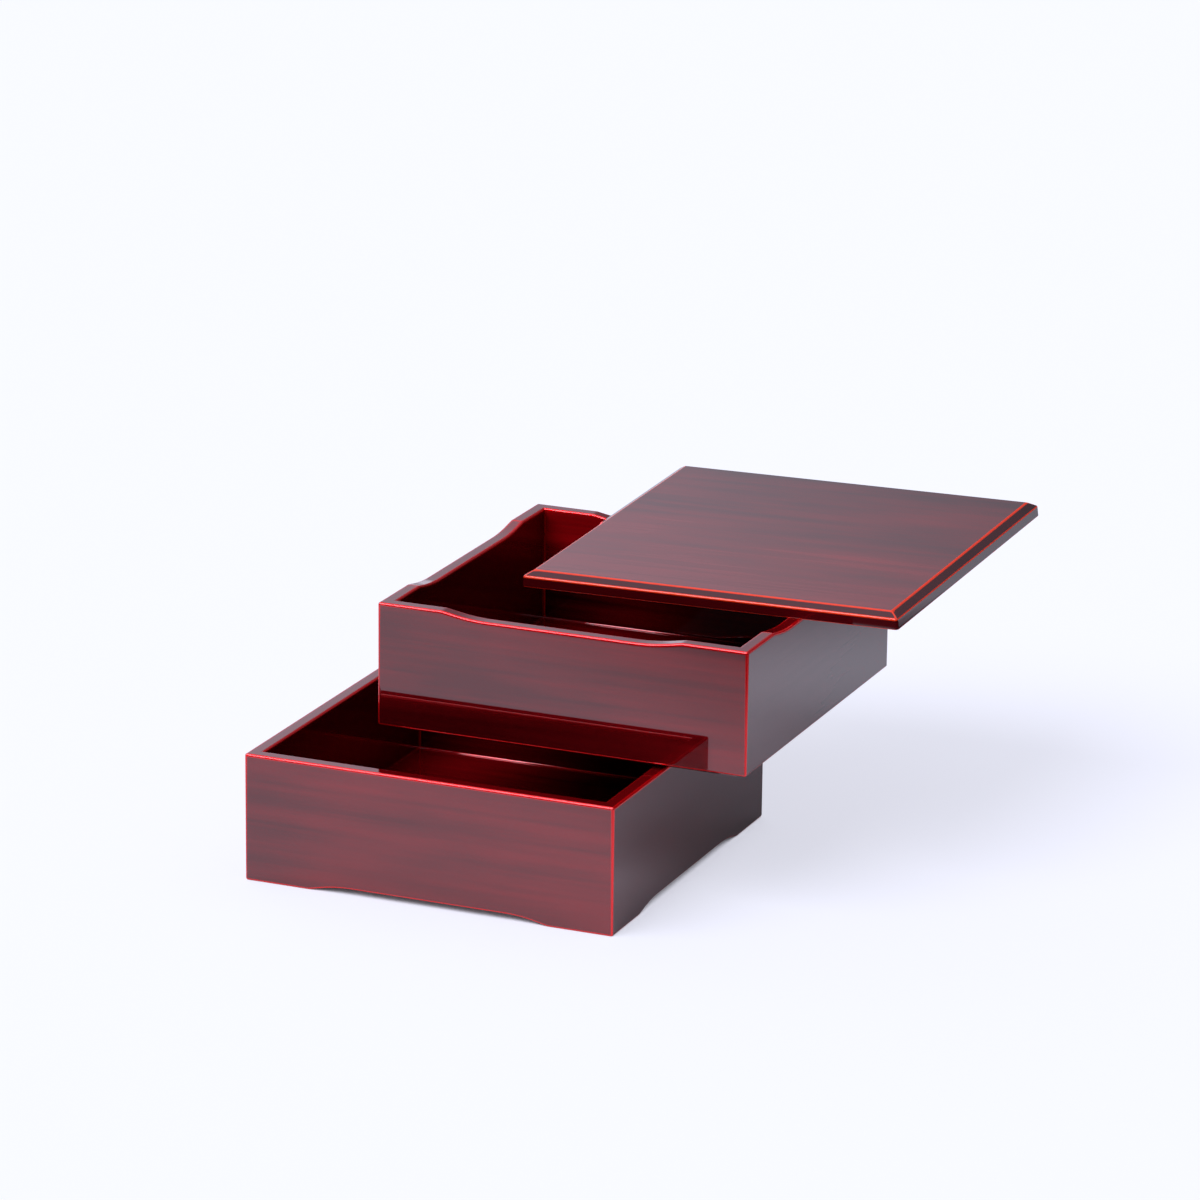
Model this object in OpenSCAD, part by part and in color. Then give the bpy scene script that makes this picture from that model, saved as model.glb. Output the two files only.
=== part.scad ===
// Two-tier stacking lacquer box with a lid, shown opened stepwise: the upper tier is shifted
// back and to the right on the rim of the lower one, and the lid again on the upper tier.
// Millimetres, +Z up. The origin is on the table, at the middle of the whole footprint.

/* [Tiers] */
// Outside width and depth of both square tiers
tier_w = 180; // [150:1:240]
// Height of the lower tier, feet included
lower_h = 60; // [45:0.5:90]
// Height of the upper tier's walls
upper_h = 58; // [45:0.5:90]
// Thickness of the wall boards
wall_t = 6.6; // [6:0.1:9]
// Rounding of the upright corners
corner_r = 1.2; // [0.6:0.1:2]
// Width of the softened arris along rims and bottom edges
arris = 0.7; // [0.3:0.1:1]

/* [Scooped rim and foot arch] */
// Level length left at each end of a scooped rim
rim_level = 31.5; // [28:0.5:45]
// Depth of the rim's scoop
scoop_depth = 2.6; // [2:0.1:5]
// Slope at which the scoop leaves the level rim, in degrees
scoop_slope = 10; // [8:1:20]
// Length of each foot along a bottom edge
foot_len = 31.5; // [28:0.5:45]
// Height of the arch between two feet
arch_height = 2.9; // [2:0.1:5]
// Slope at which the arch leaves a foot, in degrees
arch_slope = 12; // [8:1:20]
// Share of the drop that is a straight ramp, before the round that ends it
ramp_share = 0.45; // [0.3:0.05:0.6]

/* [Bottom boards] */
// Thickness of each bottom board
board_t = 6.25; // [5.5:0.05:8]
// Height of the lower tier's floor above the table
lower_floor = 11.6; // [11:0.1:16]
// Thickness of the lip that each board lets into its walls
lip_t = 3.5; // [3:0.1:4.5]
// How far the lip reaches into the walls
lip_w = 2.8; // [1.5:0.1:3]
// Clearance of the locating step inside the tier below, on each side
step_gap = 0.6; // [0.3:0.1:1.5]

/* [Mitre tongues] */
// Thickness of the loose tongue in each mitre
tongue_t = 1.4; // [1:0.1:1.8]
// Width of the tongue across the mitre
tongue_w = 4.8; // [3:0.1:5.2]
// Wood left above a tongue and between a tongue and the floor
tongue_cover = 5; // [3:0.5:10]
// Glue line round a let-in piece
glue_gap = 0.05; // [0.02:0.01:0.1]

/* [Lid] */
// Width and depth of the square lid
lid_w = 185; // [183:0.5:190]
// Height of the lid's upright edge
lid_edge = 5; // [3:0.1:8]
// Width of the bevel round the lid's top
bevel_w = 4.6; // [2:0.1:8]
// Rise of the bevel
bevel_rise = 2.4; // [1:0.1:4]
// Rounding of the lid's upright corners
lid_corner_r = 1.5; // [0.6:0.1:3]

/* [How the stack is opened] */
// Shift of the upper tier to the right
tier_shift_x = 40; // [30:0.5:50]
// Shift of the upper tier to the back
tier_shift_y = 55.5; // [45:0.5:60]
// Shift of the lid to the right of the upper tier
lid_shift_x = 46; // [42:0.5:50]
// Shift of the lid to the back of the upper tier
lid_shift_y = 67; // [60:0.5:70]
// Turn of the lid seen from above, in degrees
lid_turn = -1; // [-3:0.1:3]
// Clearance between the lid and the rim that it leans on
lid_gap = 0.05; // [0.02:0.01:0.3]

/* [Hidden] */
$fn = 96;

// Colours of the lacquer outside, the floors, the lid and the bare wood
wall_colour = [0.36, 0.04, 0.05];
floor_colour = [0.42, 0.03, 0.04];
lid_colour = [0.30, 0.05, 0.06];
wood_colour = [0.80, 0.66, 0.46];

// Quarter turns that carry the front wall to each side, and the front left mitre to each corner
FRONT = 0;
RIGHT = 1;
BACK = 2;
LEFT = 3;

half_w = tier_w / 2;
inner_half = half_w - wall_t;
// Cutters reach this far past what they cut
past = 1;
// Height of the air that an edge cutter clears above its line
clear_h = 9;
// Extra depth of a drop's round, and how far it runs on past each end, in degrees
round_bite = 0.05;
round_spread = 3;

// The board's step stands this far below the upper tier's walls
step_h = board_t - lip_t;
// Place of the upper tier, which stands on its step on the lower tier's rim
upper_z = lower_h + step_h;
upper_rim = upper_z + upper_h;

// The run of one drop: level length, depth and slope give the radius and the place of its round
function drop_radius(depth, slope) = (1 - ramp_share) * depth / (1 - cos(slope));
function ramp_run(depth, slope) = ramp_share * depth / tan(slope);
function round_run(depth, slope) = drop_radius(depth, slope) * sin(slope);
function drop_run(depth, slope) = ramp_run(depth, slope) + round_run(depth, slope);

// Height of a dropped edge at distance u from the middle of the wall, below its level ends
function dropped(u, level, depth, slope) =
    let (
        from_end = half_w - level - abs(u),
        ramp = ramp_run(depth, slope),
        run = drop_run(depth, slope),
        radius = drop_radius(depth, slope)
    )
    from_end <= 0 ? 0 :
    from_end <= ramp ? -from_end * tan(slope) :
    from_end >= run ? -depth :
    -depth + radius - sqrt(radius * radius - (run - from_end) * (run - from_end));

// The lid leans on the upper tier: on the right wall it touches the end of the level rim and, under
// its front edge, the scoop, and on the back wall the scoop under its left edge
rim_end = half_w - rim_level;
rim_inside = inner_half + arris;
lid_front = lid_shift_y - lid_w / 2 / cos(lid_turn) + (rim_inside - lid_shift_x) * tan(lid_turn);
lid_left = lid_shift_x - lid_w / 2 / cos(lid_turn) - (rim_inside - lid_shift_y) * tan(lid_turn);
front_drop = dropped(lid_front, rim_level, scoop_depth, scoop_slope);
left_drop = dropped(lid_left, rim_level, scoop_depth, scoop_slope);
rise_back = -front_drop / (rim_end - lid_front);
corner_rise = rise_back * (rim_inside - rim_end);
rise_right = (corner_rise - left_drop) / (rim_inside - lid_left);
lid_middle_rise = corner_rise
    + rise_right * (lid_shift_x - rim_inside)
    + rise_back * (lid_shift_y - rim_inside);
lid_roll = -atan(rise_right);
lid_pitch = atan(rise_back * cos(lid_roll));

// Footprint of the whole stack, from the lower tier's front left corner to the lid's back right one
lid_reach = lid_w / 2 * (cos(lid_turn) + abs(sin(lid_turn)));
middle_x = (tier_shift_x + lid_shift_x + lid_reach - half_w) / 2;
middle_y = (tier_shift_y + lid_shift_y + lid_reach - half_w) / 2;

// Moves a piece from its tier's own middle to its place in the stack
module in_lower_tier() {
    translate([-middle_x, -middle_y, 0])
        children();
}

module in_upper_tier() {
    translate([tier_shift_x - middle_x, tier_shift_y - middle_y, upper_z])
        children();
}

module in_lid_place() {
    translate([
        tier_shift_x + lid_shift_x - middle_x,
        tier_shift_y + lid_shift_y - middle_y,
        upper_rim + lid_middle_rise + lid_gap
    ])
        rotate([lid_pitch, lid_roll, 0])
            rotate(lid_turn)
                children();
}

// Square outline with rounded corners
module rounded_square(width, radius) {
    square([width, width - 2 * radius], center = true);
    square([width - 2 * radius, width], center = true);
    for (x = [-1, 1], y = [-1, 1])
        translate([x, y] * (width / 2 - radius))
            circle(radius);
}

// Plan of the front wall: the strip along the front edge, cut at 45 degrees at both ends
module wall_plan() {
    intersection() {
        difference() {
            rounded_square(tier_w, corner_r);
            square(2 * inner_half, center = true);
        }
        polygon([[0, 0], [-tier_w, -tier_w], [tier_w, -tier_w]]);
    }
}

// Air over an edge of the wall with its two arrises, seen along the edge: x runs through the wall
// from its outer face, y away from the wood
module edge_air() {
    polygon([
        [-past, -arris - past],
        [arris, 0],
        [wall_t - arris, 0],
        [wall_t + past, -arris - past],
        [wall_t + past, clear_h],
        [-past, clear_h]
    ]);
}

// The same air along a straight line of the given length, towards +X
module straight_air(length) {
    rotate([90, 0, 90])
        linear_extrude(length)
            edge_air();
}

// The same air round the hollow that ends a drop, from the level middle outwards. It is a hair
// deeper than the straight parts, so that it crosses them cleanly
module round_air(radius, slope) {
    rotate([-90, 0, 0])
        rotate(90 - slope - round_spread)
            rotate_extrude(angle = slope + 2 * round_spread, $fn = 360)
                translate([radius + round_bite, 0])
                    rotate(90)
                        edge_air();
}

// Cutter for a long shallow drop in an upper edge at height 0, its ends level for the given length
module drop_cutter(level, depth, slope) {
    radius = drop_radius(depth, slope);
    middle_half = half_w - level - drop_run(depth, slope);
    ramp_length = (ramp_run(depth, slope) + clear_h / 2) / cos(slope);
    translate([-middle_half, 0, -depth])
        straight_air(2 * middle_half);
    for (side = [0, 1])
        mirror([side, 0, 0])
            translate([middle_half, 0, -depth]) {
                translate([0, 0, radius])
                    round_air(radius, slope);
                translate([radius * sin(slope), 0, radius * (1 - cos(slope))])
                    rotate([0, -slope, 0])
                        straight_air(ramp_length);
            }
}

// Level air over a whole edge at height 0
module level_cutter() {
    translate([-half_w - past, 0, 0])
        straight_air(tier_w + 2 * past);
}

// Groove in the front wall for the bottom board's lip
module lip_groove(bottom, top) {
    translate([-half_w, -inner_half - lip_w - glue_gap, bottom])
        cube([tier_w, lip_w + glue_gap + past, top - bottom]);
}

// Loose tongue of the front left mitre, standing across it
module mitre_tongue(bottom, top, gap = 0) {
    middle = (half_w + inner_half) / 2;
    translate([-middle, -middle, bottom])
        rotate(45)
            translate([-tongue_t / 2 - gap, -tongue_w / 2 - gap, 0])
                cube([tongue_t + 2 * gap, tongue_w + 2 * gap, top - bottom + gap]);
}

// Slots for the tongues at both ends of the front wall
module tongue_slots(bottom, top) {
    for (corner = [0, 1])
        rotate(90 * corner)
            mitre_tongue(bottom, top, glue_gap);
}

// Bottom board: a lip let into the walls, and below it a field that fills the inside of the tier
module bottom_board(field_gap) {
    lip_width = 2 * (inner_half + lip_w);
    field_width = 2 * (inner_half - field_gap);
    translate([-lip_width / 2, -lip_width / 2, board_t - lip_t])
        cube([lip_width, lip_width, lip_t]);
    translate([-field_width / 2, -field_width / 2, 0])
        cube([field_width, field_width, board_t - lip_t]);
}

module lower_wall(turn) {
    color(wall_colour)
        in_lower_tier()
            rotate(90 * turn)
                difference() {
                    linear_extrude(lower_h)
                        wall_plan();
                    translate([0, -half_w, lower_h])
                        level_cutter();
                    translate([0, -half_w, 0])
                        mirror([0, 0, 1]) {
                            level_cutter();
                            drop_cutter(foot_len, arch_height, arch_slope);
                        }
                    lip_groove(lower_floor - lip_t, lower_floor);
                    tongue_slots(lower_floor + tongue_cover, lower_h - tongue_cover);
                }
}

module upper_wall(turn) {
    color(wall_colour)
        in_upper_tier()
            rotate(90 * turn)
                difference() {
                    linear_extrude(upper_h)
                        wall_plan();
                    translate([0, -half_w, upper_h]) {
                        level_cutter();
                        drop_cutter(rim_level, scoop_depth, scoop_slope);
                    }
                    translate([0, -half_w, 0])
                        mirror([0, 0, 1])
                            level_cutter();
                    lip_groove(-past, lip_t);
                    tongue_slots(lip_t + tongue_cover, upper_h - tongue_cover);
                }
}

module lower_tongue(turn) {
    color(wood_colour)
        in_lower_tier()
            rotate(90 * turn)
                mitre_tongue(lower_floor + tongue_cover, lower_h - tongue_cover);
}

module upper_tongue(turn) {
    color(wood_colour)
        in_upper_tier()
            rotate(90 * turn)
                mitre_tongue(lip_t + tongue_cover, upper_h - tongue_cover);
}

module lower_bottom_board() {
    color(floor_colour)
        in_lower_tier()
            translate([0, 0, lower_floor - board_t])
                bottom_board(glue_gap);
}

module upper_bottom_board() {
    color(floor_colour)
        in_upper_tier()
            translate([0, 0, -step_h])
                bottom_board(step_gap);
}

// Section of the lid, seen along one side
module lid_section() {
    polygon([
        [-lid_w / 2, 0],
        [lid_w / 2, 0],
        [lid_w / 2, lid_edge],
        [lid_w / 2 - bevel_w, lid_edge + bevel_rise],
        [-lid_w / 2 + bevel_w, lid_edge + bevel_rise],
        [-lid_w / 2, lid_edge]
    ]);
}

module lid_board() {
    color(lid_colour)
        in_lid_place()
            intersection() {
                linear_extrude(lid_edge + bevel_rise)
                    rounded_square(lid_w, lid_corner_r);
                for (turn = [0, 1])
                    rotate([90, 0, 90 * turn])
                        linear_extrude(lid_w + 2 * past, center = true)
                            lid_section();
            }
}

lower_wall(FRONT);  // lower_front_wall
lower_wall(RIGHT);  // lower_right_wall
lower_wall(BACK);  // lower_back_wall
lower_wall(LEFT);  // lower_left_wall
lower_bottom_board();
lower_tongue(FRONT);  // lower_tongue_front_left
lower_tongue(RIGHT);  // lower_tongue_front_right
lower_tongue(BACK);  // lower_tongue_back_right
lower_tongue(LEFT);  // lower_tongue_back_left
upper_wall(FRONT);  // upper_front_wall
upper_wall(RIGHT);  // upper_right_wall
upper_wall(BACK);  // upper_back_wall
upper_wall(LEFT);  // upper_left_wall
upper_bottom_board();
upper_tongue(FRONT);  // upper_tongue_front_left
upper_tongue(RIGHT);  // upper_tongue_front_right
upper_tongue(BACK);  // upper_tongue_back_right
upper_tongue(LEFT);  // upper_tongue_back_left
lid_board();
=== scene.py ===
# %% [markdown]
# # A stacking lacquer box, set out stepwise
#
# Two square tiers and a lid, each shifted back and to the right on the one below.
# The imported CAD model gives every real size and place. This lesson dresses it: each board gets a
# rounded, finely shaded copy of itself, a translucent red lacquer that glows along the rubbed
# edges, and a pale studio like the one such boxes are pictured in.

import math

import bmesh
import bpy
import numpy as np
from mathutils import Matrix, Vector


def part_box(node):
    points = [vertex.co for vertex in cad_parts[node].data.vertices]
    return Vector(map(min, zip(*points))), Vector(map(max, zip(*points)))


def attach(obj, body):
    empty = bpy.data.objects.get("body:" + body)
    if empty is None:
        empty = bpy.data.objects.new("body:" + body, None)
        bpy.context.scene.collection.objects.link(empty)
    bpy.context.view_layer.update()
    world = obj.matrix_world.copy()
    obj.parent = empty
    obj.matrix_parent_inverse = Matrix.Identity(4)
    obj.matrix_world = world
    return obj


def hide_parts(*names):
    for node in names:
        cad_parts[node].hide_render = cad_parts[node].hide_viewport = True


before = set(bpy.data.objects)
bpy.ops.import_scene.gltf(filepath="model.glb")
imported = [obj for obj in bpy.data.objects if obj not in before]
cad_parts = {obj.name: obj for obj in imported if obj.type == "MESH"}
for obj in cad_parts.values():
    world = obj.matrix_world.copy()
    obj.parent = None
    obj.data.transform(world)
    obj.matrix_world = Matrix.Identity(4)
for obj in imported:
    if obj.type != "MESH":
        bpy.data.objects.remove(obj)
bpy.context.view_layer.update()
print("pieces in the frame:", len(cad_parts))

# %% [markdown]
# ## Sizes that the boards share
#
# Every wall of the real box is cut from one stock and gets one of two drops: a scoop in the upper
# tier's rim, where fingers lift the lid, or an arch that leaves the lower tier its feet. A board's
# outer size can be read from the frame, but a drop can't be read from a box. So the drops are
# written here with the values of the CAD source, in metres and radians, and the dressed board
# lies on the plain one.

# %% Sizes of a tier and of its two drops
MM = 0.001
WALL = 6.6 * MM
SCOOP = {"level": 31.5 * MM, "depth": 2.6 * MM, "slope": math.radians(10)}
ARCH = {"level": 31.5 * MM, "depth": 2.9 * MM, "slope": math.radians(12)}
RAMP_SHARE = 0.45  # part of a drop's depth that is a straight ramp, before its round
SIDES = ("front", "right", "back", "left")


def in_mm(lengths, places=1):
    """Lengths in metres as rounded millimetres, for printing."""
    return [round(length / MM, places) for length in lengths]


def tier_place(tier):
    """Middle of a tier's underside, its half width and its height, read from its walls."""
    low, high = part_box(f"{tier}_left_wall")
    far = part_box(f"{tier}_right_wall")[1]
    middle = Vector(((low.x + far.x) / 2, (low.y + high.y) / 2, low.z))
    return middle, (far.x - low.x) / 2, high.z - low.z


for tier in ("lower", "upper"):
    middle, half, height = tier_place(tier)
    print(tier, "tier stands at", in_mm(middle), "and is", in_mm((2 * half, height)))

# %% [markdown]
# ## One board from its outline
#
# On the bench a wall is a plain board with its drop sawn and pared out of one edge. It could start
# as a cube with loops cut into it, but the drop ends in a true round, so it starts as an outline
# seen from the front. A single vertex is spun through the round, the ramp and the corners are
# added, and the half is mirrored. The outline becomes one face, and the face is pushed through the
# thickness of the board.


# %% Small helpers for bmesh operators
TOUCH = 1e-7  # points this near to a cut lie on it


def everything(bm):
    """All corners, edges and faces, as an operator wants them."""
    return bm.verts[:] + bm.edges[:] + bm.faces[:]


def picked(made, kind):
    """Those of an operator's results that are of one kind."""
    return [part for part in made["geom"] if isinstance(part, kind)]


def cut(bm, geom, point, normal, clear=False):
    """Cuts the given parts with a plane, and clears what lies beyond it on request."""
    bmesh.ops.bisect_plane(
        bm, geom=geom, dist=TOUCH, plane_co=point, plane_no=normal, clear_outer=clear,
    )


def open_edges(bm):
    """Number of edges that don't lie between exactly two faces: none on a closed piece."""
    return sum(not edge.is_manifold for edge in bm.edges)


# %% Outline with a drop in its upper edge
ROUND_STEPS = 10


def drop_outline(bm, half, height, drop):
    """Fills bm with a board's face whose upper edge, at height 0, has a long shallow drop."""
    depth, slope = drop["depth"], drop["slope"]
    radius = (1 - RAMP_SHARE) * depth / (1 - math.cos(slope))
    crease = half - drop["level"]
    middle = crease - RAMP_SHARE * depth / math.tan(slope) - radius * math.sin(slope)
    first = bm.verts.new((middle, 0, -depth))
    bmesh.ops.spin(
        bm, geom=[first], cent=(middle, 0, radius - depth), axis=(0, -1, 0),
        dvec=(0, 0, 0), angle=slope, steps=ROUND_STEPS, use_duplicate=False,
    )
    bm.verts.ensure_lookup_table()
    chain = bm.verts[:]
    for x, z in ((crease, 0), (half, 0), (half, -height)):
        corner = bm.verts.new((x, 0, z))
        bm.edges.new((chain[-1], corner))
        chain.append(corner)
    made = bmesh.ops.mirror(
        bm, geom=bm.verts[:] + bm.edges[:], matrix=Matrix(), merge_dist=-1, axis="X",
    )
    mirrored = picked(made, bmesh.types.BMVert)
    for right_end, place in ((chain[0], (-middle, 0, -depth)), (chain[-1], (-half, 0, -height))):
        left_end = min(mirrored, key=lambda v: (v.co - Vector(place)).length)
        bm.edges.new((right_end, left_end))
    bmesh.ops.edgenet_fill(bm, edges=bm.edges[:])
    return crease


_, half, height = tier_place("upper")
trial = bmesh.new()
crease = drop_outline(trial, half, height, SCOOP)
print("outline:", len(trial.verts), "corners, its scoop lies between", in_mm((-crease, crease)))
trial.free()

# %% Front board of a tier
CREASE_GLOW = 0.9 * MM  # how far the red line reaches to each side of a crease
FLAT_ON = 0.1  # a face whose normal leans less than this toward the front is an edge face


def dropped_edge(bm, drop):
    """The faces along the board's dropped edge, with their edges and corners."""
    faces = [
        f for f in bm.faces
        if abs(f.normal.y) < FLAT_ON and abs(f.calc_center_median().z) < drop["depth"]
    ]
    around = dict.fromkeys(part for f in faces for part in (*f.verts, *f.edges))
    return list(around) + faces


def front_board(half, height, drop, drop_at_top):
    """The front board of a tier, mitred at both ends and left open there."""
    bm = bmesh.new()
    crease = drop_outline(bm, half, height, drop)
    made = bmesh.ops.extrude_face_region(bm, geom=bm.faces[:])
    bmesh.ops.translate(bm, vec=(0, WALL, 0), verts=picked(made, bmesh.types.BMVert))
    for side in (1, -1):
        for beside in (-CREASE_GLOW, CREASE_GLOW):
            cut(bm, dropped_edge(bm, drop), (side * (crease + beside), 0, 0), (1, 0, 0))
    if not drop_at_top:
        bmesh.ops.scale(bm, vec=(1, 1, -1), verts=bm.verts)
    bmesh.ops.translate(bm, vec=(0, -half, height if drop_at_top else 0), verts=bm.verts)
    for side in (1, -1):
        cut(bm, everything(bm), (0, 0, 0), (side, 1, 0), clear=True)
    bmesh.ops.recalc_face_normals(bm, faces=bm.faces[:])
    return bm


trial = front_board(half, height, SCOOP, True)
print("front board:", len(trial.faces), "faces,", open_edges(trial), "edges open for the mitres")
trial.free()

# %% [markdown]
# ## Four boards welded into a frame
#
# The real walls meet in mitres that the lacquer covers, so an arris runs round a corner in one
# sweep. Four loose boards could each be rounded, but their rounds would end at the cut and a seam
# would show. So the boards are first welded into one ring, and parted again once their edges are
# soft.


# %% Weld the ring
WELD = 1e-6


def square_frame(half, height, drop, drop_at_top):
    """Four mitred boards as one welded ring, so that an edge can be softened round a corner."""
    bm = front_board(half, height, drop, drop_at_top)
    board = everything(bm)
    for turn in (1, 2, 3):
        made = bmesh.ops.duplicate(bm, geom=board)
        bmesh.ops.rotate(
            bm, verts=picked(made, bmesh.types.BMVert), cent=(0, 0, 0),
            matrix=Matrix.Rotation(turn * math.pi / 2, 3, "Z"),
        )
    bmesh.ops.remove_doubles(bm, verts=bm.verts[:], dist=WELD)
    bmesh.ops.recalc_face_normals(bm, faces=bm.faces[:])
    return bm


trial = square_frame(half, height, SCOOP, True)
print("welded ring:", len(trial.faces), "faces,", open_edges(trial), "open edges")

# %% [markdown]
# ## Soft arrises, and where the lacquer is rubbed
#
# The painter rubs the dark top coat back along every arris, and the red ground shows through as a
# glowing line. A noise or a pointiness map could guess at it, but the line has to follow each
# edge evenly, also along the scoop, so every vertex is told how far it is from the nearest edge.
# A bevel rounds the edges first, and insets then lay loops beside them, so that the distance is
# true between the vertices too.


# %% Lines along which the coat is rubbed through
SHARP_TURN, SLIGHT_TURN = 40, 5  # degrees
UPRIGHT = 0.9  # a direction counts as upright when its Z part is above this
LOW = 10 * MM  # an edge below this height belongs to the underside
# A line's distance counts this many times over, so the higher the number, the thinner the line
UPRIGHT_LINE, LOW_LINE, RIM_LINE, CREASE_LINE = 1.4, 1.3, 0.85, 1.5


def convex_edges(bm, least):
    """Edges that stick out and turn by more than the given angle in degrees."""
    least = math.radians(least)
    return [e for e in bm.edges if e.is_manifold and e.calc_face_angle_signed() > least]


def rubbed_line(edge, thinness=1.0):
    """The two ends of an edge, and how thin its red line is."""
    a, b = (v.co.copy() for v in edge.verts)
    if abs((b - a).normalized().z) > UPRIGHT:
        thinness *= UPRIGHT_LINE
    elif max(a.z, b.z) < LOW:
        thinness *= LOW_LINE
    else:
        thinness *= RIM_LINE
    return a, b, thinness


def line_distance(points, lines):
    """Distance of each point from the nearest of the lines, in millimetres."""
    nearest = np.full(len(points), 99.0)
    for a, b, thinness in lines:
        a, b = np.array(a), np.array(b)
        along = b - a
        t = np.clip((points - a) @ along / (along @ along), 0, 1)
        away = np.linalg.norm(points - a - t[:, None] * along, axis=1)
        nearest = np.minimum(nearest, thinness * away / MM)
    return nearest


print("sharp edges of the ring:", len(convex_edges(trial, SHARP_TURN)))

# %% Round the edges
ARRIS = 1.0 * MM
ARRIS_SEGMENTS = 5
LONG_CREASE = 2 * MM  # a crease that is shorter than this along X gets no line


def soften(bm):
    """Rounds every convex edge and returns the lines along which they ran.

    The slight creases where a drop starts get a line too, on the left and right walls, where
    they run along X. On the front and back they are rubbed too little to show.
    """
    edges = convex_edges(bm, SHARP_TURN)
    creases = [
        e for e in convex_edges(bm, SLIGHT_TURN)
        if e not in edges and abs(e.verts[0].co.x - e.verts[1].co.x) > LONG_CREASE
    ]
    lines = [rubbed_line(e) for e in edges] + [rubbed_line(e, CREASE_LINE) for e in creases]
    bmesh.ops.bevel(
        bm, geom=edges, offset=ARRIS, offset_type="OFFSET", segments=ARRIS_SEGMENTS,
        profile=0.5, affect="EDGES", clamp_overlap=False, material=-1, loop_slide=True,
    )
    return lines


print("rubbed lines:", len(soften(trial)), "and faces once the edges are round:", len(trial.faces))

# %% Lay loops beside the rounded edges
BAND_STEPS = (0.6 * MM, 0.9 * MM)
FIELD_STEPS = (0.8 * MM, 1.2 * MM, 4 * MM)
FACET = 0.7 * MM  # a level face narrower than this is part of a rounded edge
BROAD = 0.003  # square metres; only the inner and outer faces of a wall are broader


def lay_rim_loops(bm):
    """Insets the whole band of faces along the rim, and along the underside, in one piece."""
    for sense in (1, -1):
        band = [
            f for f in bm.faces
            if f.normal.z * sense > UPRIGHT and min(e.calc_length() for e in f.edges) > FACET
        ]
        for step in BAND_STEPS:
            bmesh.ops.inset_region(
                bm, faces=band, thickness=step, use_even_offset=True, use_boundary=True,
            )


def lay_loops(bm):
    """Insets each wall's inner and outer face, and tells how many there were."""
    broad = [f for f in bm.faces if f.calc_area() > BROAD]
    for step in FIELD_STEPS:
        bmesh.ops.inset_individual(bm, faces=broad, thickness=step, use_even_offset=True)
    return len(broad)


lay_rim_loops(trial)
print("broad faces:", lay_loops(trial), "and faces with the loops laid:", len(trial.faces))

# %% [markdown]
# ## Sawing the frame into four boards
#
# Each board is a piece of its own, as in the workshop. The softened ring is cut along its two
# diagonals. The bevel has an odd number of segments, so the saw runs through the middle of a
# facet and both sides keep the same shading: the joint can't be seen, as under real lacquer.


# %% Cut one side out of the welded frame and close its ends
def saw_board(ring, side):
    """A copy of the ring's side 0 front, 1 right, 2 back or 3 left, mitred and capped."""
    bm = ring.copy()
    turn = Matrix.Rotation(side * math.pi / 2, 3, "Z")
    for hand in (1, -1):
        cut(bm, everything(bm), (0, 0, 0), turn @ Vector((hand, 1, 0)), clear=True)
        rims = [e for e in bm.edges if e.is_boundary]
        bmesh.ops.holes_fill(bm, edges=rims, sides=0)
        for edge in rims:
            edge.smooth = False
    bmesh.ops.recalc_face_normals(bm, faces=bm.faces[:])
    return bm


board = saw_board(trial, SIDES.index("front"))
print("sawn board:", len(board.faces), "faces,", open_edges(board), "open edges")
board.free()
trial.free()

# %% [markdown]
# ## From a mesh to a piece of the frame
#
# A wall is still only a mesh. It has to ride on its tier, so that it lifts with it, and to take
# the place of the plain CAD board. Each vertex also stores its distance from the rubbed lines,
# which the lacquer reads later. An image painted over the board could hold that too, but it would
# need unwrapping, and a number on each vertex doesn't. Normals are weighted by the faces' size,
# so that a flat board mirrors like a flat board right up to its rounded edge.


# %% Turn a bmesh into a piece of the scene
FACING = 0.6  # how squarely a face has to look at the middle of the box to count as inside


def add_object(name, data):
    """Puts a mesh, a lamp or a camera into the scene."""
    added = bpy.data.objects.new(name, data)
    bpy.context.scene.collection.objects.link(added)
    return added


def mesh_from(bm, name, material):
    """Turns the bmesh into a mesh of one material."""
    mesh = bpy.data.meshes.new(name)
    bm.to_mesh(mesh)
    bm.free()
    mesh.materials.append(material)
    return mesh


def mark_inside(bm, middle):
    """Stores 1 on the faces that look toward the middle of the box, and 0 on all others."""
    inside = bm.faces.layers.float.new("inside")
    for face in bm.faces:
        toward_middle = (middle - face.calc_center_median()).to_2d().normalized()
        face[inside] = float(face.normal.to_2d().dot(toward_middle) > FACING)


def finish_piece(bm, name, material, lines, body, node):
    """Makes the object, stores each vertex's distance from the rubbed lines, and seats it."""
    mesh = mesh_from(bm, name, material)
    points = np.array([v.co for v in mesh.vertices])
    rub = mesh.attributes.new("edge_mm", "FLOAT", "POINT")
    rub.data.foreach_set("value", line_distance(points, lines))
    mesh.polygons.foreach_set("use_smooth", [True] * len(mesh.polygons))
    piece = add_object(name, mesh)
    weighted = piece.modifiers.new("flat faces stay flat", "WEIGHTED_NORMAL")
    weighted.keep_sharp = True
    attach(piece, body)
    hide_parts(node)
    return piece


# %% [markdown]
# ## The lacquer
#
# Real lacquer here is a dark translucent brown-red over a bright red ground, polished to a mirror.
# A layered shader could trace light through a coat, but the coat is far too thin to see as depth,
# so the colour itself is mixed: red where the coat is thin, along the rubbed edges, and dark where
# it is full. A slow cloudiness and a finer grain along the board keep the surface alive. Light and
# shade are painted in as well: upward faces take lighter colours than upright ones, the inside of
# the back walls is painted dark below and red near the rim, and the lid and the floors are painted
# lighter toward one side. All of it is reckoned from the board's own place, so it stays put when a
# tier is lifted.


# %% Short ways to add and join nodes
def new_finish(name):
    """A material with the tree of its nodes and the shader that is already in it."""
    finish = bpy.data.materials.new(name)
    finish.use_nodes = True
    return finish, finish.node_tree, finish.node_tree.nodes["Principled BSDF"]


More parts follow.
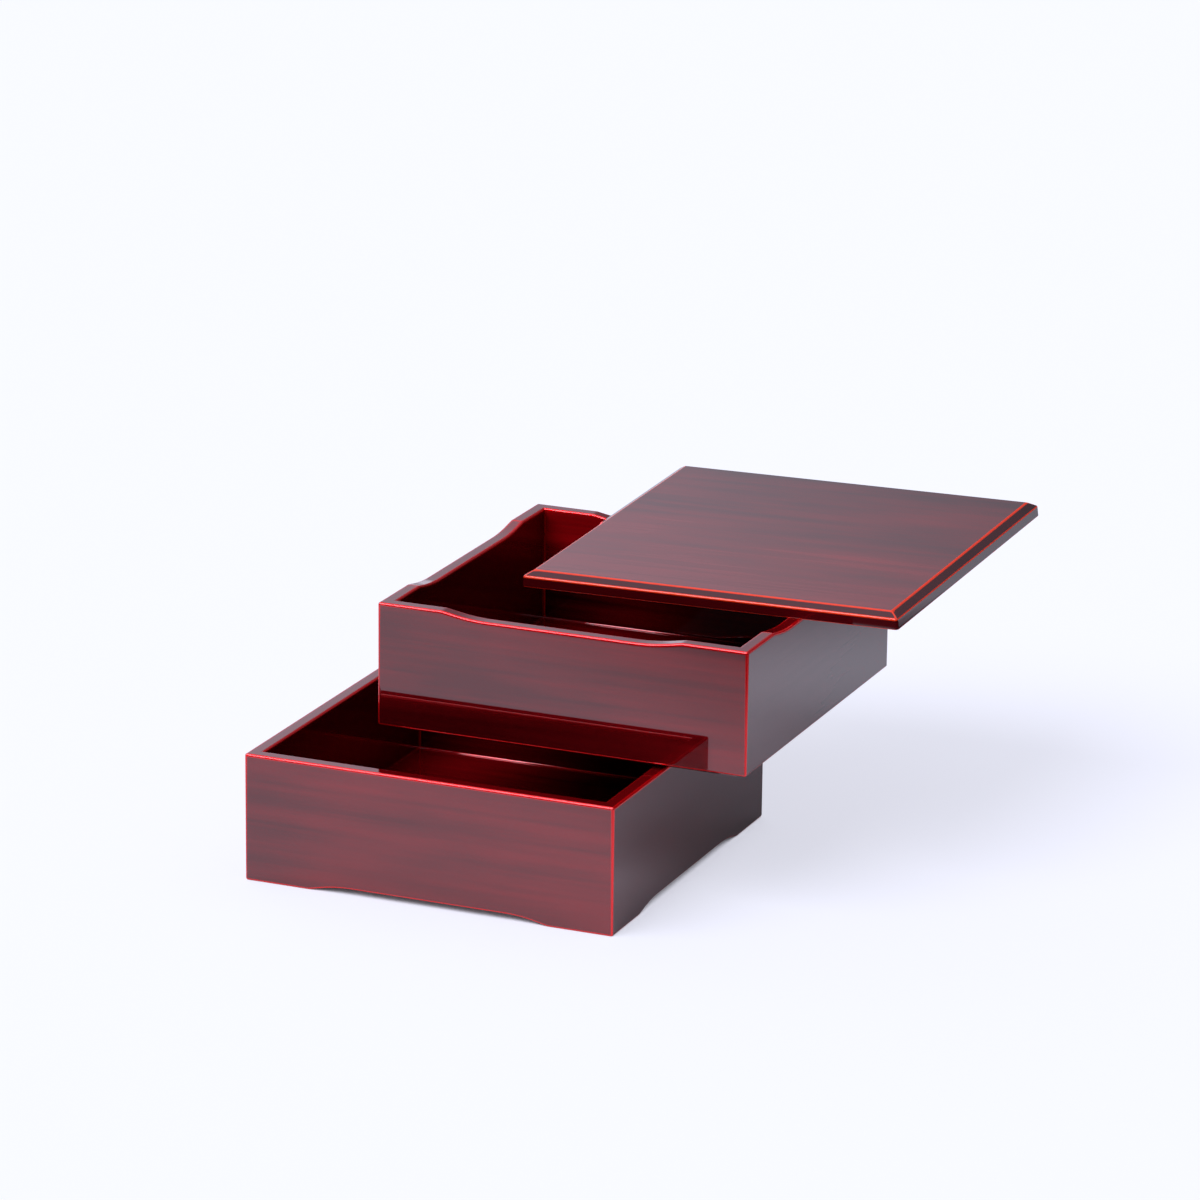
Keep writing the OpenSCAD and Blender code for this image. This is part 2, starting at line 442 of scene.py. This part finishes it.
def set_inputs(node, values):
    """Fills a node's inputs, each by name or number, or joins them to another node's output."""
    for name, value in values.items():
        if isinstance(value, bpy.types.NodeSocket):
            node.id_data.links.new(value, node.inputs[name])
        else:
            node.inputs[name].default_value = value


def add_node(tree, kind, inputs=None, **settings):
    """A new node of the given kind, with its own settings and its inputs filled in."""
    made = tree.nodes.new(f"ShaderNode{kind}")
    for name, value in settings.items():
        setattr(made, name, value)
    set_inputs(made, inputs or {})
    return made


def worked_out(tree, operation, *terms):
    """Result of a Math node, each of whose terms is a number or a node's output."""
    return add_node(tree, "Math", dict(enumerate(terms)), operation=operation).outputs["Value"]


def reach_along(tree, vector, direction):
    """How far a vector reaches along a direction."""
    dot = add_node(tree, "VectorMath", {0: vector, 1: direction}, operation="DOT_PRODUCT")
    return dot.outputs["Value"]


def ramp(tree, value, start, full, low=0.0, high=1.0, soft=True):
    """The value's way from start to full, turned into a way from low to high."""
    ends = {"Value": value, "From Min": start, "From Max": full, "To Min": low, "To Max": high}
    way = add_node(tree, "MapRange", ends, interpolation_type="SMOOTHSTEP" if soft else "LINEAR")
    return way.outputs["Result"]


def mixed(tree, factor, first, second):
    """Mix of two colours, each given as three numbers or as a node's output."""
    first, second = ((*c, 1) if isinstance(c, tuple) else c for c in (first, second))
    mix = add_node(tree, "Mix", {"Factor": factor, "A": first, "B": second}, data_type="RGBA")
    return mix.outputs["Result"]


# %% Streaks and clouds of the brushed coat
# Each noise has a length along the grain, a width across it, and a weight
STREAKS = ((150 * MM, 2 * MM, 0.2), (150 * MM, 7 * MM, 0.35), (110 * MM, 40 * MM, 0.45))


def cloudiness(tree, grain_axis):
    """Sum of the streaks, drawn out along the board."""
    place = add_node(tree, "TexCoord").outputs["Object"]
    total = 0.0
    for length, width, weight in STREAKS:
        lengthwise, across = 1 / length, 1 / width
        scale = [lengthwise if axis == grain_axis else across for axis in "XYZ"]
        stretched = add_node(tree, "Mapping", {"Vector": place, "Scale": scale})
        noise = add_node(
            tree, "TexNoise",
            {"Vector": stretched.outputs["Vector"], "Scale": 1.0, "Detail": 3.0, "Roughness": 0.55},
        )
        total = worked_out(tree, "MULTIPLY_ADD", noise.outputs["Fac"], weight, total)
    return total


def leaning(tree, clouds, middle, toward, amount):
    """Adds a painted light across the board: the colour grows redder and lighter by the amount per
    metre toward one side.
    """
    direction = Vector(toward).normalized()
    place = add_node(tree, "TexCoord").outputs["Object"]
    reach = reach_along(tree, place, direction * amount)
    shift = worked_out(tree, "SUBTRACT", reach, direction.dot(middle) * amount)
    return worked_out(tree, "ADD", clouds, shift)


# %% Lacquer material
POLISH = {
    "Roughness": 0.12, "Specular IOR Level": 0.0, "Specular Tint": (0.05, 0.0, 0.0, 1),
    "Coat IOR": 1.77, "Coat Roughness": 0.012,
}
RUB_FADE = (0.6, 1.4)  # the red ground shows fully up to the first distance, and ends at the second
RUBBED_COAT = 0.6
# The inside of the back walls is painted: dark below as painted shade, red near the rim as painted
# light.
BACK_SHADE_FADE = (85 * MM, 112 * MM)  # heights between which the inside back wall turns red
BACK_PAINTED_SHADE = ((0.02, 0.0, 0.001), (0.14, 0.001, 0.003))
BACK_PAINTED_LIGHT = ((0.40, 0.002, 0.005), (0.95, 0.004, 0.012))


def painted_inside_shade(tree, body):
    """Colour of a back wall's inside: painted shade makes it dark below, and painted light makes it
    redder near the rim.
    """
    place = add_node(tree, "TexCoord").outputs["Object"]
    height = add_node(tree, "SeparateXYZ", {"Vector": place}).outputs["Z"]
    lit_near_rim = ramp(tree, height, *BACK_SHADE_FADE)
    return mixed(tree, lit_near_rim, mixed(tree, body, *BACK_PAINTED_SHADE), mixed(tree, body, *BACK_PAINTED_LIGHT))


def lacquer(name, grain_axis, side, top, glow, metal=0.6, contrast=0.12, light_slope=None, top_from=0.5):
    """Gloss lacquer whose grain runs along X or Y; side and top each hold a dark and a red, and the
    top colours are painted lighter as light from above.
    """
    finish, tree, shader = new_finish(name)
    set_inputs(shader, {"Metallic": metal, **POLISH})

    clouds = cloudiness(tree, grain_axis)
    if light_slope:
        clouds = leaning(tree, clouds, *light_slope)
    body = ramp(tree, clouds, 0.5 - contrast, 0.5 + contrast, soft=False)
    normal = add_node(tree, "NewGeometry").outputs["Normal"]
    rise = add_node(tree, "SeparateXYZ", {"Vector": normal}).outputs["Z"]
    # Upward faces take the top colours and upright faces the side colours: light from above and
    # shade on the sides, painted into the colour.
    lit_from_above = ramp(tree, rise, top_from, min(top_from + 0.4, 0.99))
    coat = mixed(tree, lit_from_above, mixed(tree, body, *side), mixed(tree, body, *top))
    # Faces marked as inside take the painted shade and light of the back wall's inside.
    inside = add_node(tree, "Attribute", attribute_name="inside").outputs["Fac"]
    coat = mixed(tree, inside, coat, painted_inside_shade(tree, body))

    distance = add_node(tree, "Attribute", attribute_name="edge_mm").outputs["Fac"]
    rubbed = ramp(tree, distance, *RUB_FADE, 1.0, 0.0)
    coat_left = ramp(tree, rubbed, 0.0, 1.0, 1.0, RUBBED_COAT, soft=False)
    colour = mixed(tree, rubbed, coat, glow)
    set_inputs(shader, {"Base Color": colour, "Coat Weight": coat_left})
    return finish


# %% The four lacquers
DARK, RED = (0.10, 0.001, 0.003), (0.22, 0.003, 0.006)
GROUND = (0.95, 0.006, 0.008)  # the red ground that a rubbed edge shows
# The rim tops take this one red, lighter than the sides' colours: painted light from above.
RIM = (0.30, 0.002, 0.005)
walls_along_x = lacquer("lacquer_along_x", "X", (DARK, RED), (RIM, RIM), GROUND, contrast=0.10)
walls_along_y = lacquer("lacquer_along_y", "Y", (DARK, RED), (RIM, RIM), GROUND, contrast=0.9)

# The lid's sides are painted darker than its top: painted shade on the sides, painted light on the
# top.
LID_SIDE = ((0.04, 0.001, 0.002), (0.08, 0.001, 0.003))
LID_TOP = ((0.05, 0.001, 0.003), (0.26, 0.003, 0.006))
LID_GROUND = (1.0, 0.05, 0.01)
lid_middle = sum(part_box("lid_board"), Vector()) / 2
# The lid is painted lighter toward its front: a painted sheen.
lid_lacquer = lacquer(
    "lacquer_lid", "X", LID_SIDE, LID_TOP, LID_GROUND, metal=0.15, contrast=0.2,
    light_slope=(lid_middle, (-0.2, -1, 0), 1.2), top_from=0.9,
)

FLOOR = ((0.10, 0.001, 0.002), (0.50, 0.003, 0.008))
# The floors are painted redder toward the left, where light falls in, and darker toward the right:
# painted light and shade.
floor_lacquer = lacquer(
    "lacquer_floor", "X", FLOOR, FLOOR, GROUND, light_slope=(tier_place("lower")[0], (-1, 0, 0), 1.2),
)
print("lacquers:", [m.name for m in (walls_along_x, walls_along_y, lid_lacquer, floor_lacquer)])

# %% [markdown]
# ## The walls of both tiers
#
# All eight walls come off two rings, as a workshop would cut them from two lengths of moulding:
# the lower ring has the arch below, and the upper one the scoop above. Each wall could be modelled
# on its own, but then eight drops would have to agree. Each board's grain runs along it, so front
# and back take one lacquer and the two sides the other.

# %% Build the walls
# The red line up the back wall's inner left corner is painted light, where light falls in from the
# left.
LIT_CORNER_LINE = 1.3  # thinness of the line up the back wall's inner corner at the left
for tier, drop, at_top in (("lower", ARCH, False), ("upper", SCOOP, True)):
    middle, half, height = tier_place(tier)
    ring = square_frame(half, height, drop, at_top)
    lines = soften(ring)
    lay_rim_loops(ring)
    lay_loops(ring)
    print(tier, "ring:", len(ring.faces), "faces and", len(lines), "rubbed lines")
    for side, word in enumerate(SIDES):
        board = saw_board(ring, side)
        bmesh.ops.translate(board, vec=middle, verts=board.verts)
        node = f"{tier}_{word}_wall"
        seated = [(a + middle, b + middle, thin) for a, b, thin in lines]
        if word == "back":
            # Marks the back wall's inside for its painted shade and light.
            mark_inside(board, middle)
            # Painted light: a red line up the inner left corner, drawn like a rubbed line.
            corner = middle + Vector((WALL - half, half - WALL, 0))
            seated.append((corner, corner + Vector((0, 0, height)), LIT_CORNER_LINE))
        finish_piece(
            board, f"{node}_lacquered", walls_along_y if side % 2 else walls_along_x,
            seated, f"{tier}_tier", node,
        )
    ring.free()

# %% [markdown]
# ## Bottom boards
#
# The floor of a tier is one flat board, let into the walls. The lacquer pools where they meet and
# leaves a narrow cove, which catches a line of light. A plain slab would miss that line, and a
# bevel would round the slab the wrong way. So the board is raised past its floor by the height of
# the cove, and its top is then stepped down and inward along a quarter round. Below its lip the
# board is narrower, since there it is the step that locates a tier on the one below.

# %% Bottom boards
COVE = 0.7 * MM
LIP = 3.5 * MM  # height of the board's full width, up to the floor
STEP_GAPS = {"lower": 0.05 * MM, "upper": 0.6 * MM}  # how far the step stays inside the walls
COVE_TURNS = [math.radians(a) for a in (0, 22.5, 45, 67.5, 90)]
COVE_BEND = math.radians(50)  # the cove bends less than this from face to face, the board more
SQUARE_ON = 0.99  # a direction counts as square to the box when one of its parts is above this


def floor_board(tier):
    """The board's field from below, widened to the walls, with a coved edge round its top."""
    middle, half, _ = tier_place(tier)
    inside = half - WALL
    step = inside - STEP_GAPS[tier]
    low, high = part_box(f"{tier}_bottom_board")
    bm = bmesh.new()
    bmesh.ops.create_grid(bm, x_segments=1, y_segments=1, size=step)
    underside = bm.faces[:]
    field = underside
    for rise, width in ((high.z - low.z - LIP, 1.0), (0.0, inside / step), (LIP + COVE, 1.0)):
        made = bmesh.ops.extrude_face_region(bm, geom=field)
        raised = picked(made, bmesh.types.BMVert)
        bmesh.ops.translate(bm, vec=(0, 0, rise), verts=raised)
        bmesh.ops.scale(bm, vec=(width, width, 1), verts=raised)
        if field is not underside:
            bmesh.ops.delete(bm, geom=field, context="FACES_ONLY")
        field = picked(made, bmesh.types.BMFace)
    bmesh.ops.recalc_face_normals(bm, faces=bm.faces[:])
    for a, b in zip(COVE_TURNS, COVE_TURNS[1:]):
        bmesh.ops.inset_individual(
            bm, faces=field, thickness=COVE * (math.cos(a) - math.cos(b)),
            depth=-COVE * (math.sin(b) - math.sin(a)), use_even_offset=True,
        )
    for edge in bm.edges:
        run = (edge.verts[0].co - edge.verts[1].co).normalized()
        edge.smooth = max(map(abs, run)) > SQUARE_ON and edge.calc_face_angle() < COVE_BEND
    bmesh.ops.translate(bm, vec=(middle.x, middle.y, low.z), verts=bm.verts)
    return bm


for tier in STEP_GAPS:
    board = floor_board(tier)
    print(tier, "floor:", len(board.faces), "faces,", open_edges(board), "open edges")
    finish_piece(
        board, f"{tier}_floor_lacquered", floor_lacquer, [],
        f"{tier}_tier", f"{tier}_bottom_board",
    )

# %% [markdown]
# ## The lid
#
# The lid is one board with its upper edge planed off to a bevel. A beveled cube would give the
# shape, but its long faces would carry no points near the ridges, and the red lines would smear
# across them. So the lid's section is written out as points, close together at the ridges. Each
# point becomes a ring round the board, a rounded square that is spun at its corners, and the rings
# are bridged. The last rings lie in one plane, where a bridge can't tell which way round they run,
# so all rings are drawn well apart, bridged, and then let down to their own heights.

# %% Section of the lid
LID_HALF, LID_EDGE, LID_BEVEL, LID_RISE = 92.5 * MM, 5 * MM, 4.6 * MM, 2.4 * MM
LID_LEAN = 0.35 * MM  # how far the upright edge leans in at its top
LID_SOFT = 0.5 * MM
BETWEEN = (0.3, 0.7)  # where a straight stretch of the section gets a point more
ON_TOP = (1.3, 2.1, 6)  # mm inward from the high ridge


def soft_corner(before, corner, after):
    """Five points that round the corner of a section."""
    start = corner + (before - corner).normalized() * LID_SOFT
    end = corner + (after - corner).normalized() * LID_SOFT
    return [start.lerp(corner, t).lerp(corner.lerp(end, t), t) for t in (0, 0.25, 0.5, 0.75, 1)]


foot, low_ridge = Vector((LID_HALF, 0)), Vector((LID_HALF - LID_LEAN, LID_EDGE))
high_ridge = Vector((LID_HALF - LID_BEVEL, LID_EDGE + LID_RISE))
inward = Vector((-1, 0))
section = [
    *soft_corner(foot + inward, foot, low_ridge),
    *(foot.lerp(low_ridge, t) for t in BETWEEN),
    *soft_corner(foot, low_ridge, high_ridge),
    *(low_ridge.lerp(high_ridge, t) for t in BETWEEN),
    *soft_corner(low_ridge, high_ridge, high_ridge + inward),
    *(high_ridge + inward * reach * MM for reach in ON_TOP),
]
print("points in the lid's section:", len(section))

# %% Rings round the lid, bridged into a board
CORNER_STEPS = 6
BESIDE = (2.5 * MM, 6 * MM, 12 * MM)  # extra points beside each corner
ROUND_LOW, ROUND_LOST = 1.5 * MM, 1.2 * MM  # a corner's radius, and how much the bevel takes off
APART = 10 * MM  # between the rings while they are bridged


def rounded_square(bm, half, height, radius):
    """Draws one ring round the lid and gives back its edges."""
    known = set(bm.edges)
    turn_at = half - radius
    chain = [bm.verts.new((half, BESIDE[-1] - turn_at, height))]

    def draw_to(x, y):
        chain.append(bm.verts.new((x, y, height)))
        bm.edges.new(chain[-2:])

    for away in (*reversed(BESIDE), 0):
        draw_to(half, turn_at - away)
    spun = bmesh.ops.spin(
        bm, geom=chain[-1:], cent=(turn_at, turn_at, height), axis=(0, 0, 1),
        dvec=(0, 0, 0), angle=math.pi / 2, steps=CORNER_STEPS, use_duplicate=False,
    )
    chain += [v for v in spun["geom_last"] if isinstance(v, bmesh.types.BMVert)]
    for away in BESIDE:
        draw_to(turn_at - away, half)
    quarter = [e for e in bm.edges if e not in known]
    bmesh.ops.spin(
        bm, geom=quarter + list(dict.fromkeys(v for e in quarter for v in e.verts)),
        cent=(0, 0, 0), axis=(0, 0, 1), dvec=(0, 0, 0), angle=3 * math.pi / 2, steps=3,
        use_duplicate=True,
    )
    ring = [e for e in bm.edges if e not in known]
    ends = list(dict.fromkeys(v for e in ring for v in e.verts))
    bmesh.ops.remove_doubles(bm, verts=ends, dist=WELD)
    return [e for e in bm.edges if e not in known]


bm = bmesh.new()
rings = []
for level, (half, height) in enumerate(section):
    up_bevel = max(0.0, min(1.0, (height - LID_EDGE) / LID_RISE))
    radius = ROUND_LOW - ROUND_LOST * up_bevel
    rings.append(rounded_square(bm, half, level * APART, radius))
for below, above in zip(rings, rings[1:]):
    bmesh.ops.bridge_loops(bm, edges=below + above)
for ring, (_, height) in zip(rings, section):
    for vert in {v for e in ring for v in e.verts}:
        vert.co.z = height
for end in (rings[0], rings[-1]):
    bmesh.ops.edgenet_fill(bm, edges=end)
bmesh.ops.recalc_face_normals(bm, faces=bm.faces[:])
print("lid:", len(bm.faces), "faces,", open_edges(bm), "open edges")

# %% [markdown]
# ## The lid's rubbed lines and its place
#
# The lid lies askew across the scooped rim, turned a little and leaning on three points of it.
# Moving the finished object would leave its rubbed lines behind, so the lines are drawn while the
# board still lies square, and board and lines are put in place together. The front edges are
# rubbed most, since hands take the lid there, and the back ones hardly at all.

# %% Rubbed lines of the lid, and its place on the tier
# How thin the line is on the foot, the low ridge and the high ridge of each side
LID_LINES = {
    "back": (9.0, 4.0, 9.0), "left": (9.0, 9.0, 4.0),
    "front": (3.2, 1.45, 1.4), "right": (2.8, 2.8, 1.6),
}
LID_UPRIGHT_LINE, LID_MITRE_LINE = 2.6, 2.4
LID_TURN, LID_ROLL, LID_PITCH = (math.radians(a) for a in (-1, -1.2205, 1.7583))
SINK, CLEAR = 0.5507 * MM, 0.05 * MM  # how far its middle sinks into the scoops, less a hair
LID_SHIFT = Vector((46 * MM, 67 * MM, CLEAR - SINK))  # from the middle of the upper tier's rim

lines = []
points = [Vector((p.x, p.x, p.y)) for p in (foot, low_ridge, high_ridge)]
for corner, thinnesses in enumerate(LID_LINES.values()):
    here, there = (Matrix.Rotation(k * math.pi / 2, 3, "Z") for k in (corner, corner + 1))
    for point, thinness in zip(points, thinnesses):
        lines.append((here @ point, there @ point, thinness))
    lines.append((here @ points[0], here @ points[1], LID_UPRIGHT_LINE))
    lines.append((here @ points[1], here @ points[2], LID_MITRE_LINE))

upper_middle, _, upper_height = tier_place("upper")
place = Matrix.Translation(upper_middle + Vector((0, 0, upper_height)) + LID_SHIFT)
for angle, axis in ((LID_ROLL, "Y"), (LID_PITCH, "X"), (LID_TURN, "Z")):
    place = place @ Matrix.Rotation(angle, 4, axis)
bmesh.ops.transform(bm, matrix=place, verts=bm.verts)
lid = finish_piece(
    bm, "lid_board_lacquered", lid_lacquer,
    [(place @ a, place @ b, thin) for a, b, thin in lines], "lid", "lid_board",
)

# %% [markdown]
# ## Bare wood for the hidden tongues
#
# A thin tongue of bare wood keys each mitre. It is hidden when the box is whole. It could be
# dressed like the walls, but its plain shape is right as it is, so the CAD solid stays and only
# gets a wood: a wave pattern for the growth rings, from a darker to a paler brown.

# %% Wood on the tongues
PALE_WOOD, DARK_WOOD = (0.68, 0.50, 0.30, 1), (0.55, 0.38, 0.20, 1)
wood, tree, shader = new_finish("bare_wood")
place_in = add_node(tree, "TexCoord").outputs["Object"]
growth = add_node(tree, "TexWave", {"Vector": place_in, "Scale": 60, "Distortion": 4})
shade = add_node(tree, "ValToRGB", {"Fac": growth.outputs["Fac"]})
for stop, colour in zip(shade.color_ramp.elements, (DARK_WOOD, PALE_WOOD)):
    stop.color = colour
set_inputs(shader, {"Base Color": shade.outputs["Color"], "Roughness": 0.7})

tongues = [node for name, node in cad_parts.items() if "tongue" in name]
for tongue in tongues:
    tongue.data.materials.clear()
    tongue.data.materials.append(wood)
print("tongues of bare wood:", len(tongues))

# %% [markdown]
# ## The white table
#
# Such a box is pictured on white paper that runs on with no edge. A brighter lamp could bleach a
# grey floor, but it would bleach the box too. So the floor is plain paper that takes the shadow,
# mixed with a white that the camera sees. Close under the box, where hardly any open sky is left,
# the mix goes back to plain paper, and the contact shadow stays.

# %% Paper that the camera sees as white
PAPER, PAPER_WHITE = (0.90, 0.91, 0.94, 1), (0.985, 0.998, 1.12, 1)
WHITE_SHARE = 0.66  # of the white in the mix, where the sky is open
OPEN_SKY = (0.1, 0.4)  # share of open sky where the white starts, and where it is full
SEEN_BY = {"Is Glossy Ray": 0.15, "Is Transmission Ray": 1.0}  # how much of the white they see
HALF_FLOOR = 12  # metres, so far that its edge is lost at the horizon

paper, tree, lit = new_finish("white_paper")
set_inputs(lit, {"Base Color": PAPER, "Roughness": 1.0, "Specular IOR Level": 0.0})
white = add_node(tree, "Emission", {"Color": PAPER_WHITE})
open_sky = add_node(tree, "AmbientOcclusion", {"Distance": 30 * MM}, samples=5)
not_under = ramp(tree, open_sky.outputs["AO"], *OPEN_SKY, 0.0, WHITE_SHARE)
rays = add_node(tree, "LightPath")
seen = rays.outputs["Is Camera Ray"]
for ray, part in SEEN_BY.items():
    seen = worked_out(tree, "MULTIPLY_ADD", rays.outputs[ray], part, seen)
share = worked_out(tree, "MULTIPLY", seen, not_under)
table = add_node(
    tree, "MixShader", {"Fac": share, 1: lit.outputs["BSDF"], 2: white.outputs["Emission"]},
)

bm = bmesh.new()
bmesh.ops.create_grid(bm, x_segments=1, y_segments=1, size=HALF_FLOOR)
floor = add_object("floor", mesh_from(bm, "floor", paper))
print("paper:", len(tree.nodes), "nodes so far")

# %% [markdown]
# ## Where the paper ends in a reflection
#
# The box mirrors the table it stands on. A real sheet of paper ends somewhere, and past its end
# the box mirrors a darker room, which gives the walls their depth. A smaller floor would end for
# the camera too, so the floor stays, but it fades to black for mirrored rays past its sides. Two
# gentler fades paint shade on the mirrored paper toward the back and the front right.

# %% Fade the paper for mirrored rays
# Direction from the middle of the table, where the fade starts and ends, and what it leaves
# The first two fades end the paper at its sides. The last two leave part of it: painted shade on
# the mirrored paper toward the back and toward the front right.
FADES = (
    ((0.921, 0.389, 0), 0.25, 0.45, 0.04),
    ((0.389, -0.921, 0), 0.36, 0.46, 0.04),
    ((0, 1, 0), 0.20, 0.45, 0.6),
    ((0.6, -0.8, 0), 0.20, 0.33, 0.62),
)
FAR_PAPER = (0.40, 0.50, 0.0, 0.65)  # between these depths the paper comes back, up to the last

spot = add_node(tree, "NewGeometry").outputs["Position"]
paper_left = 1.0
for direction, near, far, least in FADES:
    fade = ramp(tree, reach_along(tree, spot, direction), near, far, 1.0, least)
    paper_left = worked_out(tree, "MULTIPLY", paper_left, fade)
depth = add_node(tree, "SeparateXYZ", {"Vector": spot}).outputs["Y"]
paper_left = worked_out(tree, "MAXIMUM", paper_left, ramp(tree, depth, *FAR_PAPER, soft=False))
lost = worked_out(tree, "SUBTRACT", 1.0, paper_left)
unseen = worked_out(tree, "MULTIPLY", lost, rays.outputs["Is Glossy Ray"])
dark_room = add_node(tree, "Emission", {"Strength": 0.0}).outputs["Emission"]
table = add_node(tree, "MixShader", {"Fac": unseen, 1: table.outputs["Shader"], 2: dark_room})
set_inputs(tree.nodes["Material Output"], {"Surface": table.outputs["Shader"]})
print("paper:", len(tree.nodes), "nodes")

# %% [markdown]
# ## Soft studio light
#
# Gloss shows whatever is around it, so the light is shaped like a studio: a bright ceiling, a paler
# wall behind, a card at the back left that lights the lid, and a thin bright horizon. An image
# could stand in for it, but four soft lobes on the sky say the same with a few numbers each. One
# broad lamp gives the shadow its side.

# %% Sky
# Middle of each lobe, how near to it the light starts and is full, and its colour
SKY = (
    ((0, 0, 1), 0.30, 0.95, (0.49, 0.50, 0.60)),
    ((0, 1, 0), -0.3, 0.3, (0.11, 0.112, 0.135)),
    ((-0.75, 0.6, 0.28), 0.803, 0.960, (0.765, 0.79, 0.945)),
    ((-0.39, 0.92, -0.05), 0.965, 0.985, (0.70, 0.72, 0.86)),
)
world = bpy.data.worlds.new("studio")
bpy.context.scene.world = world
world.use_nodes = True
tree = world.node_tree
outward = add_node(tree, "TexCoord").outputs["Generated"]
light = (0, 0, 0)
for middle, start, full, colour in SKY:
    lobe = ramp(tree, reach_along(tree, outward, Vector(middle).normalized()), start, full)
    added = add_node(tree, "VectorMath", {0: colour, 1: lobe, 2: light}, operation="MULTIPLY_ADD")
    light = added.outputs["Vector"]
set_inputs(tree.nodes["Background"], {"Color": light, "Strength": 1.0})
print("lobes in the sky:", len(SKY))

# %% Lamp
SHINES_TOWARD = Vector((0.36, 0.53, -0.77))
sun = bpy.data.lights.new("soft_sun", "SUN")
sun.energy = 2.5
sun.color = (0.97, 0.98, 1.12)
sun.angle = math.radians(48)
lamp = add_object("soft_sun", sun)
lamp.rotation_euler = SHINES_TOWARD.to_track_quat("-Z", "Y").to_euler()
print("lamp turned by", [round(math.degrees(angle), 1) for angle in lamp.rotation_euler])

# %% [markdown]
# ## The camera
#
# A long lens from well back keeps the box's sides nearly parallel, as in the picture. The camera
# could be pointed with a constraint, but its own two angles and its small tilt are known, so its
# three axes are written straight into its matrix.

# %% Camera
YAW, PITCH, TILT = 0.399067, 0.294735, 0.010768  # radians
AWAY = 2.61867  # metres
AIM = Vector((43.9906, 0.9707, 124.1545)) * MM  # from the middle of the lower tier's underside

camera_data = bpy.data.cameras.new("camera")
camera_data.sensor_width = 36
camera_data.lens = 174.31
camera_data.clip_start, camera_data.clip_end = 0.05, 60
camera = add_object("camera", camera_data)
ahead = Vector((
    -math.sin(YAW) * math.cos(PITCH), math.cos(YAW) * math.cos(PITCH), -math.sin(PITCH),
))
level_right = ahead.cross(Vector((0, 0, 1))).normalized()
level_up = level_right.cross(ahead)
right = level_right * math.cos(TILT) + level_up * math.sin(TILT)
up = level_up * math.cos(TILT) - level_right * math.sin(TILT)
stands_at = tier_place("lower")[0] + AIM - ahead * AWAY
camera.matrix_world = (
    Matrix.Translation(stands_at) @ Matrix((right, up, -ahead)).transposed().to_4x4()
)
bpy.context.scene.camera = camera
bpy.context.scene.view_settings.view_transform = "Standard"
print("camera stands at", in_mm(stands_at))
